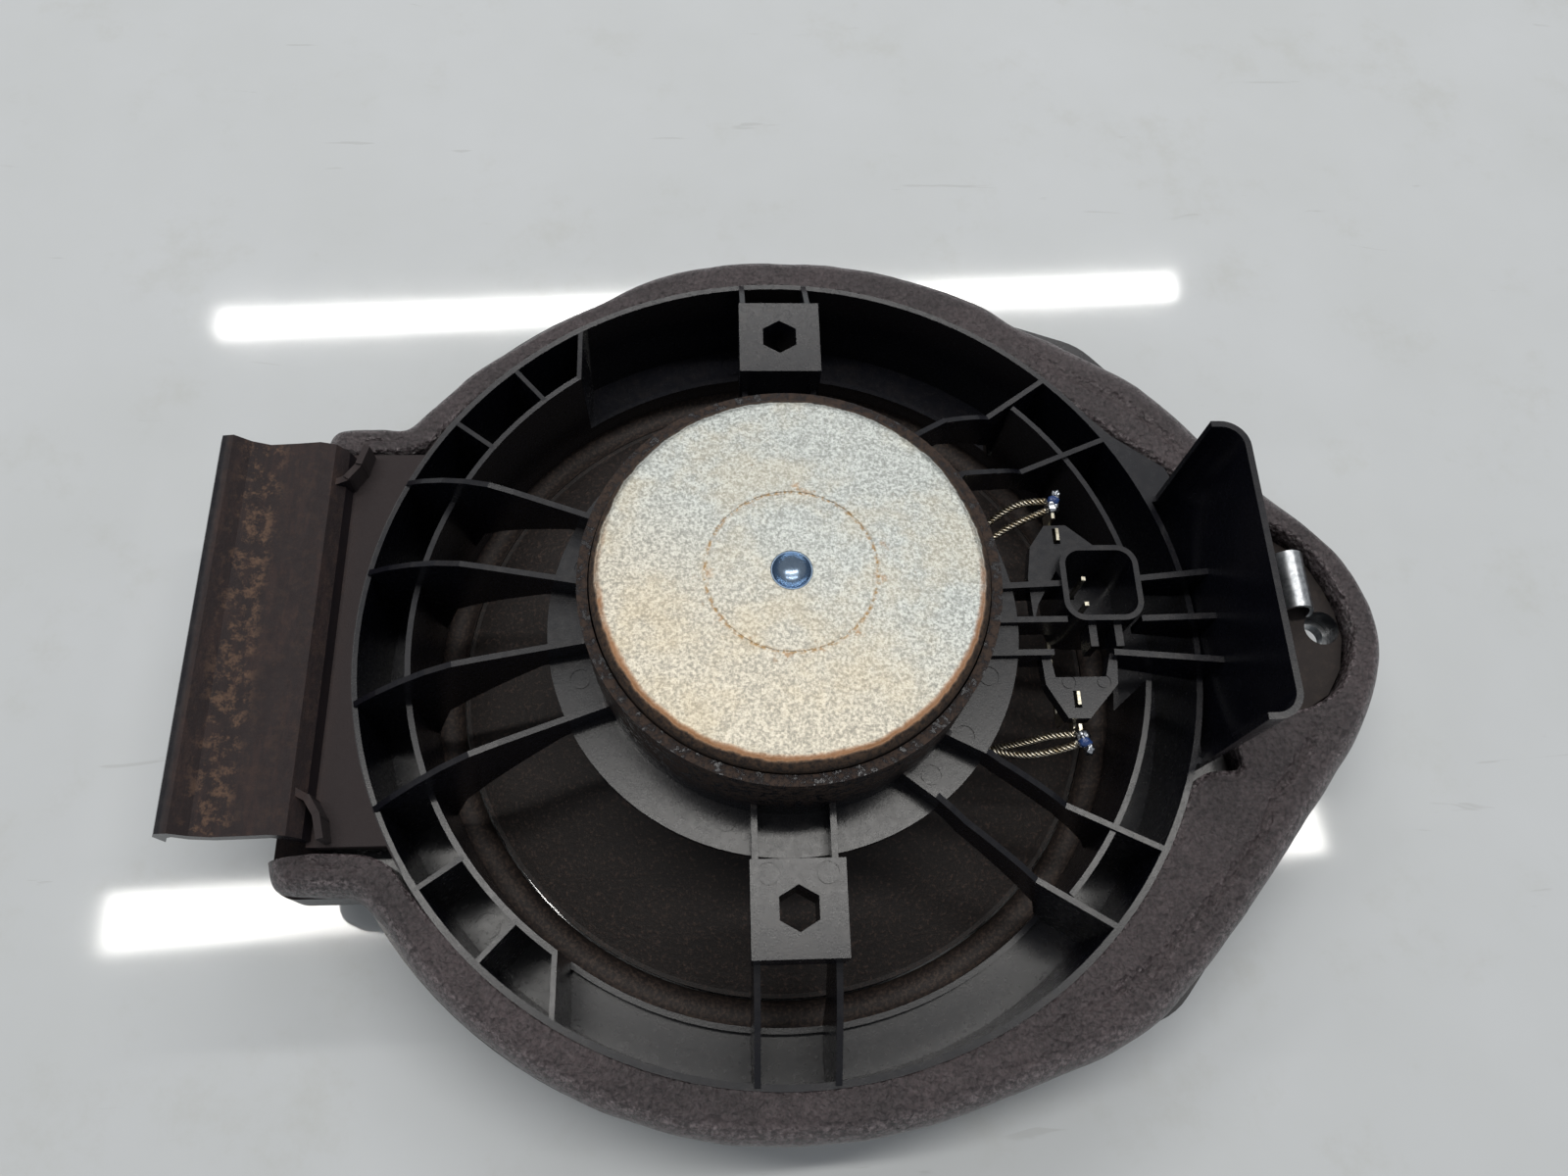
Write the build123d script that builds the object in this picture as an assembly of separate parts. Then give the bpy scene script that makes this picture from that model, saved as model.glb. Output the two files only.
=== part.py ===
from build123d import *
import math
import os

# Coaxial door speaker for a car, 165 mm class, with a hook at -X and a screw lug at +X.
# Origin: on the speaker axis, in the plane of the front rim. +Z points to the rear, at the
# magnet, +X points to the screw lug. All lengths are in millimetres.

# ---- driving dimensions: frame -------------------------------------------------------------
WALL_R = 83.0            # outside of the round basket wall
WALL_T = 1.2
WALL_TOP = 32.0          # rear edge of the wall, level with the foam
FRONT_RIM_R = 85.0
FRONT_RIM_H = 5.8
LEDGE_TOP = 8.0          # rear face of the ledge that holds the surround
LEDGE_T = 2.2
OPEN_R = 72.0            # opening that the cone works in
RIB_T = 1.1              # thickness of the moulded ribs
WEB_T = 0.95             # thickness of the short webs
MID_RIB_TOP = 31.3
LIP_TOP = 10.5
FLANGE_R = 91.5
FLANGE_Z = 21.5
FLANGE_T = 3.0
FOAM_Z = FLANGE_Z + FLANGE_T
NOSE_X, NOSE_R = 92.0, 30.5      # rounded end of the flange at the screw lug
CORNER = (70.0, 72.0)            # where the flange leaves the round part
HOOK_HALF = 39.0
EAR_X, EAR_HALF = 95.0, 48.0

# ---- driving dimensions: hub and ribs --------------------------------------------------------
PLATE_R = 45.0           # annular plate that carries the spider
PLATE_TOP = 38.6
PLATE_T = 2.0
SEAT_R = 26.0
COLLAR_R, COLLAR_T, COLLAR_TOP = 37.2, 1.9, 60.0
RIB_CROWN = (60.0, 44.6)         # radius and height of the ribs' highest stretch
BOSS_TOP = 52.0
BOSS_Y = 55.3
BOSS_SIDE = 16.0
HEX_FLATS = 6.6
FLAP_TOP = 62.0
FLAP_LEAN = 1.8
FLAP_X = 83.2            # inner face of the flap at the wall's height
FLAP_SIDE_X = 79.3       # where the flap's side walls end above the wall
FLAP_Y0, FLAP_Y1 = -26.6, 28.6
FLAP_T = 1.2

# ---- driving dimensions: connector -----------------------------------------------------------
SOCKET_X, SOCKET_Y = 61.7, 6.3
SOCKET_W, SOCKET_D = 15.6, 15.8
SOCKET_T = 1.1
SOCKET_CORNER = 4.2
SOCKET_TOP, SOCKET_FLOOR, SOCKET_BOTTOM = 41.0, 26.0, 24.0
ARM_TOP, ARM_T = 40.0, 1.2
WING_TOP, WING_T = 38.0, 3.2

# ---- driving dimensions: screw lug -----------------------------------------------------------
LUG_X, LUG_Y = 111.6, 1.6
LUG_HOLE_R = 3.6
CLIP_HOLE_R = 2.6
PAD_TOP = 26.5
CLIP_T = 0.8
CLIP_X0, CLIP_X1 = 101.4, 109.5
CLIP_Y0, CLIP_Y1 = 4.1, 16.4
CLIP_RISE = 6.6
LUG_OPENING = [(85.0, 25.4), (95.6, 25.2), (103.2, 22.8), (108.4, 18.9), (111.2, 15.4), (113.4, 10.6),
               (115.0, 5.2), (115.4, -0.8), (113.6, -7.4), (110.0, -12.8), (103.8, -16.4), (96.6, -18.4),
               (85.0, -20.0)]

# ---- driving dimensions: motor and cone --------------------------------------------------------
CAN_R, CAN_T, CAN_TOP = 35.0, 1.2, 62.7
POLE_R = 12.2
POST_R = 3.0
RIVET_R = 3.6
FRONT_PLATE_T = 5.0
MAGNET_T = 12.6
MAGNET_R, MAGNET_BORE = 31.0, 15.5
COIL_R = 12.55           # inside of the voice coil former
CONE_R, CONE_EDGE_Z = 66.4, 5.6
NECK_R, NECK_Z = 12.8, 27.2
CONE_T = 0.7
TWEETER_R, TWEETER_FRONT, TWEETER_REAR = 17.5, 1.2, 20.0
DOME_R = 8.6

OUT = "parts"


def polar(radius, azimuth):
    a = math.radians(azimuth)
    return (radius * math.cos(a), radius * math.sin(a))


def lift(sketch, z0, z1):
    """Solid that stands on a flat outline between two heights."""
    return Pos(0, 0, z0) * extrude(sketch, z1 - z0, dir=(0, 0, 1))


def ring(r_out, r_in, z0, z1):
    return lift(Circle(r_out) - Circle(r_in), z0, z1)


def disc(radius, z0, z1, x=0.0, y=0.0):
    return lift(Pos(x, y) * Circle(radius), z0, z1)


def plate(points, z0, z1):
    return lift(Polygon(*points, align=None), z0, z1)


def block(x0, x1, y0, y1, z0, z1):
    return Pos((x0 + x1) / 2, (y0 + y1) / 2, (z0 + z1) / 2) * Box(x1 - x0, y1 - y0, z1 - z0)


def turned(points):
    """Solid of revolution about Z from (radius, height) points."""
    return revolve(Plane.XZ * Polygon(*points, align=None), Axis.Z)


def sector(az0, az1, z0, z1, radius=140.0):
    """Wedge between two azimuths, for keeping part of a ring."""
    steps = 8
    rim = [polar(radius, az0 + (az1 - az0) * i / steps) for i in range(steps + 1)]
    return plate([(0, 0)] + rim, z0, z1)


def web(p, q, profile, thick=RIB_T):
    """Upright web over the plan line p to q; profile holds (distance from p, height)."""
    dx, dy = q[0] - p[0], q[1] - p[1]
    along = Plane(origin=(p[0], p[1], 0), x_dir=(dx, dy, 0), z_dir=(dy, -dx, 0))
    return extrude(along * Polygon(*profile, align=None), thick / 2, both=True)


def rounded_post(x, y, width, depth, radius, z0, z1):
    return lift(Pos(x, y) * RectangleRounded(width, depth, radius), z0, z1)


def flange_outline(grow=0.0):
    """Round plate with two soft corners and a rounded nose at +X."""
    r_main, r_nose = FLANGE_R + grow, NOSE_R + grow
    cx, cy = CORNER[0] + grow * 0.7, CORNER[1] + grow * 0.7
    reach = math.hypot(cx, cy)
    touch = math.atan2(cy, cx) + math.acos(r_main / reach)
    on_main = (r_main * math.cos(touch), r_main * math.sin(touch))
    back = math.hypot(cx - NOSE_X, cy)
    lean = math.atan2(cy, cx - NOSE_X) - math.acos(r_nose / back)
    on_nose = (NOSE_X + r_nose * math.cos(lean), r_nose * math.sin(lean))
    def flipped(point):
        return (point[0], -point[1])

    rim = [
        ThreePointArc(on_main, (-r_main, 0), flipped(on_main)),
        Polyline(flipped(on_main), (cx, -cy), flipped(on_nose)),
        ThreePointArc(flipped(on_nose), (NOSE_X + r_nose, 0), on_nose),
        Polyline(on_nose, (cx, cy), on_main),
    ]
    shape = make_face([edge for line in rim for edge in line.edges()])
    corners = [v for v in shape.vertices() if abs(v.X - cx) < 0.01 and abs(abs(v.Y) - cy) < 0.01]
    return fillet(corners, 14.0)


def ears(grow=0.0):
    """Two rounded ears, one each side of the hook."""
    width, height = EAR_X - 60.0 + grow, 2 * (EAR_HALF + grow)
    shape = Pos(-60.0 - width / 2, 0) * RectangleRounded(width, height, 5.0)
    return shape


# ---- basket ---------------------------------------------------------------------------------
RIB_LINES = [((-77.0, 33.9), (-31.5, 17.5)), ((-81.3, 13.5), (-35.6, 5.5))]
RIB_LINES += [((x0, -y0), (x1, -y1)) for (x0, y0), (x1, y1) in RIB_LINES]
STRUTS = [
    [(58.5, 58.0), (45.1, 48.5), (34.4, 43.6), (27.3, 37.6), (21.8, 29.0)],
    [(70.0, 43.3), (50.8, 35.3), (43.8, 32.0), (36.0, 28.8), (29.5, 21.5)],
    [(69.6, -43.8), (51.7, -35.1), (37.3, -28.9), (26.6, -23.3)],
    [(58.8, -57.5), (44.6, -48.6), (30.3, -39.5), (18.2, -29.8)],
]


def rib_top(radius):
    """Height of a rib's rear edge: an arch from the wall up to the hub."""
    crown_r, crown_z = RIB_CROWN
    if radius <= crown_r:
        return crown_z
    t = (radius - crown_r) / (WALL_R - crown_r)
    return crown_z - (crown_z - WALL_TOP) * t ** 1.6


def rib_foot(radius):
    """Height of a rib's front edge, clear of the cone."""
    if radius >= OPEN_R:
        return LEDGE_TOP - 1.0
    t = (OPEN_R - radius) / (OPEN_R - PLATE_R)
    return min(13.0 + 24.6 * min(t, 1.0) ** 0.7, PLATE_TOP - 1.0)


def arched_web(p, q, steps=9):
    """Web from the wall at p to the hub at q with the arched top and foot."""
    length = math.dist(p, q)
    top, foot = [], []
    for i in range(steps + 1):
        s = length * i / steps
        x = p[0] + (q[0] - p[0]) * i / steps
        y = p[1] + (q[1] - p[1]) * i / steps
        radius = math.hypot(x, y)
        top.append((s, rib_top(radius)))
        foot.append((s, rib_foot(radius)))
    return web(p, q, foot + top[::-1])


def strut_top(radius, bend_radius):
    """Height of a strut: level from the wall to its bend, and then rising to the hub."""
    if radius >= bend_radius:
        return WALL_TOP
    t = min((bend_radius - radius) / (bend_radius - PLATE_R), 1.0)
    return WALL_TOP + (RIB_CROWN[1] - WALL_TOP) * t ** 0.8


def strut(path):
    """Upright webs along a bent plan line from the wall to the hub."""
    bend_radius = math.hypot(*path[1])
    made = []
    for p, q in zip(path, path[1:]):
        length, steps = math.dist(p, q), 5
        top, foot = [], []
        for i in range(steps + 1):
            t = i / steps
            radius = math.hypot(p[0] + (q[0] - p[0]) * t, p[1] + (q[1] - p[1]) * t)
            overlap = 0.3 * ((i == steps) - (i == 0))
            top.append((length * t + overlap, strut_top(radius, bend_radius)))
            foot.append((length * t + overlap, rib_foot(radius)))
        made.append(web(p, q, foot + top[::-1]))
    return made


def bosses():
    """Two square bosses with hexagonal pockets, each carried by a pair of ribs."""
    made = []
    half = BOSS_SIDE / 2
    for side in (1, -1):
        for x in (-6.9, 6.9):
            made.append(arched_web((x, side * 82.2), (x, side * 33.5), 10))
        y0, y1 = side * BOSS_Y - half, side * BOSS_Y + half
        made.append(block(-half, half, y0, y1, BOSS_TOP - 9.5, BOSS_TOP))
    return made


def hex_pockets():
    point_r = HEX_FLATS / math.sqrt(3)
    cut = []
    for side in (1, -1):
        shape = Rot(0, 0, 90) * RegularPolygon(point_r, 6)
        cut.append(lift(Pos(0, side * BOSS_Y) * shape, BOSS_TOP - 11, BOSS_TOP + 1))
    return cut


def outer_webs():
    """Short webs in the trough between the wall and the inner rib."""
    made = []
    lines = [(polar(82.4, a), polar(72.6, a)) for a in (132.5, 144.5, -132.5, -144.5)]
    lines += [((-42.0, side * 70.9), (-42.0, side * 58.8)) for side in (1, -1)]
    for p, q in lines:
        length = math.dist(p, q)
        profile = [(0, LEDGE_TOP - 1), (length, LEDGE_TOP - 1), (length, MID_RIB_TOP), (0, WALL_TOP)]
        made.append(web(p, q, profile, WEB_T))
    return made


def inner_rib():
    """Tall circumferential rib at both sides, and a low lip along the top and bottom."""
    tall = ring(OPEN_R + RIB_T, OPEN_R, LEDGE_TOP - 1, MID_RIB_TOP)
    low = ring(OPEN_R + RIB_T, OPEN_R, LEDGE_TOP - 1, LIP_TOP)
    left = tall & sector(125.3, 234.7, 0, 60)
    upper = tall & sector(13.5, 45.2, 0, 60)
    lower = tall & sector(-45.2, -8.5, 0, 60)
    return [left, upper, lower, low]


def hub():
    collar_in = COLLAR_R - COLLAR_T
    return [
        ring(PLATE_R, SEAT_R, PLATE_TOP - PLATE_T, PLATE_TOP),
        ring(COLLAR_R, collar_in, PLATE_TOP - 1, COLLAR_TOP),
    ]


FLAP_LAND = [polar(82.4, 41), (71.6, 44.0), (82.0, 36.2), (84.6, FLAP_Y1 + 1.0), (77.5, FLAP_Y1 - 0.6)]


def flap():
    """Shallow channel-shaped screen beside the connector, leaning outwards."""
    y_mid, height = (FLAP_Y0 + FLAP_Y1) / 2, FLAP_Y1 - FLAP_Y0
    z0 = FLANGE_Z

    def level(x_face, z, grow):
        width = x_face - 60.0 + grow
        shape = RectangleRounded(width, height + 2 * grow, 4.0 + grow)
        return Pos(60.0 + width / 2, y_mid, z) * shape

    lean_below = FLAP_LEAN * (WALL_TOP - z0) / (FLAP_TOP - WALL_TOP)
    lean_above = FLAP_LEAN * 1.1
    outer = loft([level(FLAP_X - lean_below, z0, FLAP_T), level(FLAP_X + FLAP_LEAN, FLAP_TOP, FLAP_T)])
    inner = loft([level(FLAP_X - lean_below, z0 - 0.01, 0), level(FLAP_X + lean_above, FLAP_TOP + 3, 0)])
    low = block(60, 100, -40, 40, 0, WALL_TOP) - disc(WALL_R - 0.8, 0, 70)
    high = block(FLAP_SIDE_X, 100, -40, 40, WALL_TOP - 0.5, 70) - disc(WALL_R - 0.8, 0, 70)
    return [(outer - inner) & low, (outer - inner) & high]


def flap_land():
    """Flat plastic corner beside the flap, level with the wall's edge."""
    shape = plate(FLAP_LAND, WALL_TOP - 2.2, WALL_TOP)
    return shape - disc(WALL_R - 0.8, 0, 70)


def socket():
    """Connector shell with its floor, a keying block and the two wings for the terminals."""
    shell = rounded_post(SOCKET_X, SOCKET_Y, SOCKET_W, SOCKET_D, SOCKET_CORNER, SOCKET_BOTTOM, SOCKET_TOP)
    inner_w, inner_d = SOCKET_W - 2 * SOCKET_T, SOCKET_D - 2 * SOCKET_T
    bore_corner = SOCKET_CORNER - SOCKET_T
    bore = rounded_post(SOCKET_X, SOCKET_Y, inner_w, inner_d, bore_corner, SOCKET_FLOOR, SOCKET_TOP + 1)
    key = block(58.6, 62.6, -0.4, 3.6, SOCKET_FLOOR - 1, SOCKET_FLOOR + 3.5)
    x_in, x_out = SOCKET_X - SOCKET_W / 2, SOCKET_X + SOCKET_W / 2
    upper_wing = plate([(48.4, -0.9), (48.2, 8.6), (49.3, 15.2), (52.6, 19.9), (57.0, 20.0), (62.0, 15.6),
                        (x_in + 3, 13.4), (x_in + 0.6, 11.0), (49.6, 3.0)], WING_TOP - WING_T, WING_TOP)
    lower_wing = plate([(48.9, -7.0), (49.2, -13.4), (52.8, -20.1), (56.9, -20.2), (63.1, -13.5),
                        (63.8, -6.8), (62.3, -7.4), (61.0, -12.0), (51.2, -12.0), (50.6, -7.0)],
                       WING_TOP - WING_T, WING_TOP)
    legs = [block(x, x + 1.5, -6.2, -1.2, 33.0, ARM_TOP - 1) for x in (58.6, 63.6)]
    return [(shell - bore) + key, upper_wing, lower_wing] + legs


ARM_LINES = [
    [(35.8, 5.9), (53.9, 6.6)],
    [(68.6, 7.4), (84.3, 8.9)],
    [(35.8, -0.9), (54.4, -0.9)],
    [(69.0, -0.9), (84.4, -0.5)],
    [(35.8, -7.6), (51.0, -7.6)],
    [(62.6, -7.7), (84.3, -9.6)],
]


def arms():
    """Three slim arms that carry the connector between the hub and the flap."""
    made = []
    deep = ARM_TOP - 7.0
    for p, q in ARM_LINES:
        length = math.dist(p, q)
        if q[0] > FLAP_X:
            profile = [(0, deep), (length, SOCKET_BOTTOM + 4), (length, ARM_TOP)]
        else:
            past_plate = PLATE_R - p[0] + 0.6
            profile = [(0, PLATE_TOP - 1), (past_plate, PLATE_TOP - 1), (past_plate, deep), (length, deep)]
            profile.append((length, ARM_TOP))
        made.append(web(p, q, profile + [(0, ARM_TOP)], ARM_T))
    return made


HOOK_TOP = [(-110.6, 39.6), (-109.4, 41.9), (-107.2, 42.2), (-104.6, 39.6), (-101.4, 38.1), (-96.0, 38.6),
            (-91.4, 39.2), (-88.6, 38.2), (-86.8, 35.0), (-86.2, 32.0)]
HOOK_T = 2.6


def hook():
    """Rolled hook that slips behind the door panel, with its foot and two curled gussets."""
    bottom = [(-84.0, 29.4), (-87.0, 30.0), (-89.6, 34.6), (-91.6, 36.3), (-96.0, 35.8), (-101.4, 35.3),
              (-105.6, 36.6), (-107.6, 39.0), (-108.6, 38.4), (-110.4, 34.6)]
    profile = Plane.XZ * Polygon(*(HOOK_TOP + [(-82.4, 32.0), (-82.4, 29.4)] + bottom), align=None)
    body = extrude(profile, HOOK_HALF, both=True)
    foot = block(-87.0, -70.0, -HOOK_HALF, HOOK_HALF, WALL_TOP - 2.6, WALL_TOP) - disc(WALL_R - 0.8, 0, 60)
    ends = [block(-87.0, -72.0, side * HOOK_HALF - 1.0, side * HOOK_HALF + 1.0, FLANGE_Z, WALL_TOP)
            - disc(WALL_R - 0.8, 0, 60) for side in (1, -1)]
    back = block(-87.0, -85.2, -HOOK_HALF, HOOK_HALF, FLANGE_Z, WALL_TOP - 1)
    curls = []
    for side in (1, -1):
        outline = [(-83.2, 39.0), (-84.0, 35.4), (-86.0, 32.2), (-89.0, 30.6)]
        for (x0, y0), (x1, y1) in zip(outline, outline[1:]):
            p, q = (x0, side * y0), (x1, side * y1)
            reach = math.dist(p, q) + 0.4
            rise = [(-0.4, WALL_TOP - 1), (reach, WALL_TOP - 1), (reach, 37.6), (-0.4, 37.0)]
            curls.append(web(p, q, rise, 1.3))
    return [body, foot, back] + ends + curls


def flange():
    """Outer flange with a stiffening edge, small gussets, the ears and the lug pad."""
    sheet = (flange_outline() + ears()) - Circle(WALL_R - 0.6)
    skirt = (flange_outline() + ears()) - (flange_outline(-1.8) + ears(-1.8))
    made = [lift(sheet, FLANGE_Z, FOAM_Z), lift(skirt, FLANGE_Z - 5, FLANGE_Z + 1)]
    for azimuth in range(60, 300, 20):
        p, q = polar(82.4, azimuth), polar(90.6, azimuth)
        made.append(web(p, q, [(0, 9), (8.2, FLANGE_Z - 4), (8.2, FLANGE_Z + 1), (0, FLANGE_Z + 1)]))
    for y in (-9.5, 19.5):
        made.append(web((84.5, y), (112.0, y), [(0, 10), (27.5, FLANGE_Z - 4), (27.5, 22), (0, 22)]))
    pad = plate(LUG_OPENING, FOAM_Z - 1, PAD_TOP)
    return made + [pad]


def pin_marks():
    """Round ejector marks left by the mould, each a fine circular groove."""
    marks = []
    spots = [(polar(40.0, a), PLATE_TOP, 1.95) for a in (-17.2, -35.6, -50.0, -79.0, -107.0, -163.6, 163.6,
                                                         107.0, 79.0)]
    spots += [((side * 4.9, -49.8), BOSS_TOP, 1.95) for side in (1, -1)]
    spots += [((x, -13.0), WING_TOP, 1.4) for x in (53.6, 60.4)]
    spots += [(polar(77.8, a), LEDGE_TOP, 2.6) for a in (-96.5, -83.5, -127.5, -138.5, 96.5, 83.5, 127.5)]
    for (x, y), z, radius in spots:
        marks.append(lift(Pos(x, y) * (Circle(radius) - Circle(radius - 0.22)), z - 0.2, z + 0.8))
    return marks


def make_basket():
    solid = ring(WALL_R, WALL_R - WALL_T, 0, WALL_TOP)
    solid += ring(FRONT_RIM_R, WALL_R - 1, 0, FRONT_RIM_H)
    solid += ring(WALL_R - 1, OPEN_R, LEDGE_TOP - LEDGE_T, LEDGE_TOP)
    for piece in inner_rib() + hub() + outer_webs():
        solid += piece
    for p, q in RIB_LINES:
        solid += arched_web(p, q)
    for path in STRUTS:
        for piece in strut(path):
            solid += piece
    for piece in bosses() + flange() + hook() + flap() + [flap_land()] + socket() + arms():
        solid += piece
    solid -= disc(COLLAR_R - COLLAR_T, PLATE_TOP, 80)
    for cut in hex_pockets() + pin_marks():
        solid -= cut
    solid -= disc(LUG_HOLE_R, 10, 40, LUG_X, LUG_Y)
    solid -= block(CLIP_X0 - 0.3, CLIP_X0 + CLIP_T + 0.3, CLIP_Y0 - 0.4, CLIP_Y1 + 0.4, 15, 40)
    for side in (1, -1):
        x, y = 54.9, 17.6 if side > 0 else -16.4
        solid -= block(x - 0.7, x + 0.7, y - 1.7, y + 1.7, WING_TOP - 5, WING_TOP + 2)
    for y in (4.0, 9.4):
        solid -= block(59.4, 60.8, y - 0.7, y + 0.7, SOCKET_BOTTOM - 1, SOCKET_FLOOR + 1)
    return solid


# ---- pieces on the basket -----------------------------------------------------------------------
def make_foam():
    """Seal around the rear of the flange, cut away at the hook, the flap and the screw lug."""
    shape = (flange_outline(0.3) + ears(0.0)) - Circle(WALL_R + 0.4)
    shape -= Pos(-95.0, 0) * Rectangle(60.0, 2 * (HOOK_HALF + 1.4))
    y_mid, height = (FLAP_Y0 + FLAP_Y1) / 2, FLAP_Y1 - FLAP_Y0 + 2 * FLAP_T + 0.8
    shape -= Pos(60, y_mid) * Rectangle(2 * (FLAP_X + FLAP_T + 0.6 - 60), height)
    beside = [(63.0, 53.0), (72.6, 44.8), (84.0, 36.6), (86.4, FLAP_Y1 + 1.0), (70.0, FLAP_Y1 - 1.0)]
    for hole in (beside, LUG_OPENING):
        shape -= Polygon(*hole, align=None)
    return lift(shape, FOAM_Z, WALL_TOP)


def make_clip():
    """Spring clip at the screw lug: an arched upper leg and a lower leg with the screw's hole."""
    z_low = FLANGE_Z - CLIP_T - 0.05
    half = (CLIP_X1 - CLIP_X0) / 2
    mid = CLIP_X0 + half
    y_mid, y_half = (CLIP_Y0 + CLIP_Y1) / 2, (CLIP_Y1 - CLIP_Y0) / 2

    profile = Ellipse(half, CLIP_RISE) - Ellipse(half - CLIP_T, CLIP_RISE - CLIP_T)
    profile &= Pos(0, CLIP_RISE) * Rectangle(4 * half, 2 * CLIP_RISE)
    profile = Pos(mid, PAD_TOP) * profile
    stem_h = PAD_TOP - z_low
    profile += Pos(CLIP_X0 + CLIP_T / 2, z_low + stem_h / 2) * Rectangle(CLIP_T, stem_h + 0.2)
    upper = Pos(0, y_mid, 0) * extrude(Plane.XZ * profile, y_half, both=True)
    lower = rounded_post(108.4, 5.0, 16.0, 22.0, 1.5, z_low, z_low + CLIP_T)
    collar = disc(CLIP_HOLE_R + 0.8, z_low - 1.8, z_low + 0.1, LUG_X, LUG_Y)
    solid = upper + lower + collar
    return solid - disc(CLIP_HOLE_R, 10, 40, LUG_X, LUG_Y)


def make_terminal(side):
    """Bent metal strip: pin in the socket, strip under the wing and a solder tab outside it."""
    pin_y = 9.4 if side > 0 else 4.0
    tab_y = 17.6 if side > 0 else -16.4
    end_y = 22.6 if side > 0 else -21.9
    z_strip = SOCKET_BOTTOM - 1.4
    pin = block(59.7, 60.5, pin_y - 0.4, pin_y + 0.4, z_strip, 35.5)
    run = block(54.6, 60.5, pin_y - 0.4, pin_y + 0.4, z_strip, z_strip + 0.8)
    low, high = sorted((pin_y, tab_y))
    strip = block(54.6, 55.2, low - 0.4, high + 0.4, z_strip, z_strip + 1.2)
    rise = block(54.6, 55.2, tab_y - 1.3, tab_y + 1.3, z_strip, WING_TOP + 1.0)
    y0, y1 = sorted((tab_y, end_y + side * 2.2))
    tab = block(54.6, 55.2, y0, y1, WING_TOP - WING_T - 3.4, WING_TOP - WING_T - 0.6)
    end = block(54.6, 55.2, end_y + side * 0.2 - 1.0, end_y + side * 0.2 + 1.0,
                WING_TOP - WING_T - 3.4, WING_TOP - 0.4)
    return pin + run + strip + rise + tab + end


def tube(points, radius):
    """Round lead along straight runs joined by tangent arcs."""
    route = [Vector(*p) for p in points]
    bends = []
    for a, b, c in zip(route, route[1:], route[2:]):
        turn = math.radians((b - a).get_angle(c - b))
        run = min((b - a).length, (c - b).length)
        bends.append(0.45 * run / math.tan(turn / 2))
    path = FilletPolyline(*route, radius=bends)
    start = Plane(origin=path @ 0, z_dir=path % 0)
    return sweep(start * Circle(radius), path=path)


EYELET_X, EYELET_Y = 36.0, 21.0
COIL_LEAD_UPPER = [(53.9, 23.8, 36.8), (48.6, 22.6, 34.6), (42.4, 19.8, 31.0), (35.0, 16.4, 26.2),
                   (27.6, 13.2, 19.8)]
COIL_LEAD_LOWER = [(53.9, -24.9, 37.0), (49.3, -25.8, 34.4), (43.2, -25.2, 30.6), (36.2, -21.6, 26.0),
                   (28.8, -16.4, 18.9)]
TWEETER_LEAD_UPPER = [(53.9, 25.8, 37.1), (49.6, 26.9, 35.2), (45.4, 26.0, 30.4), (40.6, 23.8, 24.4),
                      (36.4, 21.1, 16.6)]
TWEETER_LEAD_LOWER = [(53.9, -22.8, 36.7), (50.4, -22.2, 34.4), (46.0, -22.5, 29.8), (41.0, -22.1, 24.2),
                      (36.4, -21.1, 16.6)]
FRONT_LEAD_UPPER = [(35.7, 20.6, 10.4), (31.0, 18.6, 8.2), (26.0, 16.0, 7.2), (21.0, 12.4, 8.4),
                    (16.9, 8.0, 10.2)]
FRONT_LEAD_LOWER = [(x, -y, z) for x, y, z in FRONT_LEAD_UPPER]
LEAD_R = 0.8


def make_solder(side):
    """Two solder beads on the end of a terminal."""
    y_end = 24.6 if side > 0 else -23.9
    z_tab = WING_TOP - WING_T - 0.6
    bead = Pos(54.9, y_end, z_tab + 2.9) * Sphere(1.5)
    tip = Pos(56.1, y_end + side * 2.0, z_tab + 3.6) * Sphere(1.2)
    return bead + tip


# ---- motor ---------------------------------------------------------------------------------------
PLATE_SEAT = PLATE_TOP
MAGNET_Z = PLATE_SEAT + FRONT_PLATE_T
YOKE_Z = MAGNET_Z + MAGNET_T
YOKE_TOP = CAN_TOP - 1.4


def make_front_plate():
    return ring(33.4, 13.7, PLATE_SEAT, MAGNET_Z)


def make_magnet():
    return chamfer(ring(MAGNET_R, MAGNET_BORE, MAGNET_Z, YOKE_Z).edges(), 0.4)


def make_yoke():
    solid = disc(32.5, YOKE_Z, YOKE_TOP) + disc(POLE_R, PLATE_SEAT, YOKE_Z + 1)
    return solid - disc(POST_R + 0.1, 0, 80)


def make_can():
    """Drawn zinc-plated cup with a rounded shoulder and a shallow stamped ring."""
    outer = disc(CAN_R, 41.0, CAN_TOP)
    outer = fillet(outer.edges().group_by(Axis.Z)[-1], 2.2)
    inner = disc(CAN_R - CAN_T, 40.0, YOKE_TOP)
    stamped = ring(15.2, 14.8, CAN_TOP - 0.12, CAN_TOP + 1)
    return outer - inner - stamped - disc(RIVET_R + 0.1, 50, 80)


def make_post():
    """Hollow rivet through the pole that carries the tweeter; its dished end shows at the rear."""
    solid = disc(POST_R, 14.6, YOKE_TOP) + disc(RIVET_R, YOKE_TOP, CAN_TOP - 0.05)
    dish = Pos(0, 0, CAN_TOP + 1.5) * Sphere(3.75)
    return solid - dish - disc(1.4, 10, 52)


# ---- cone assembly ---------------------------------------------------------------------------------
def cone_height(radius):
    t = (radius - NECK_R) / (CONE_R - NECK_R)
    return NECK_Z - (NECK_Z - CONE_EDGE_Z) * t ** 0.86


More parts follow.
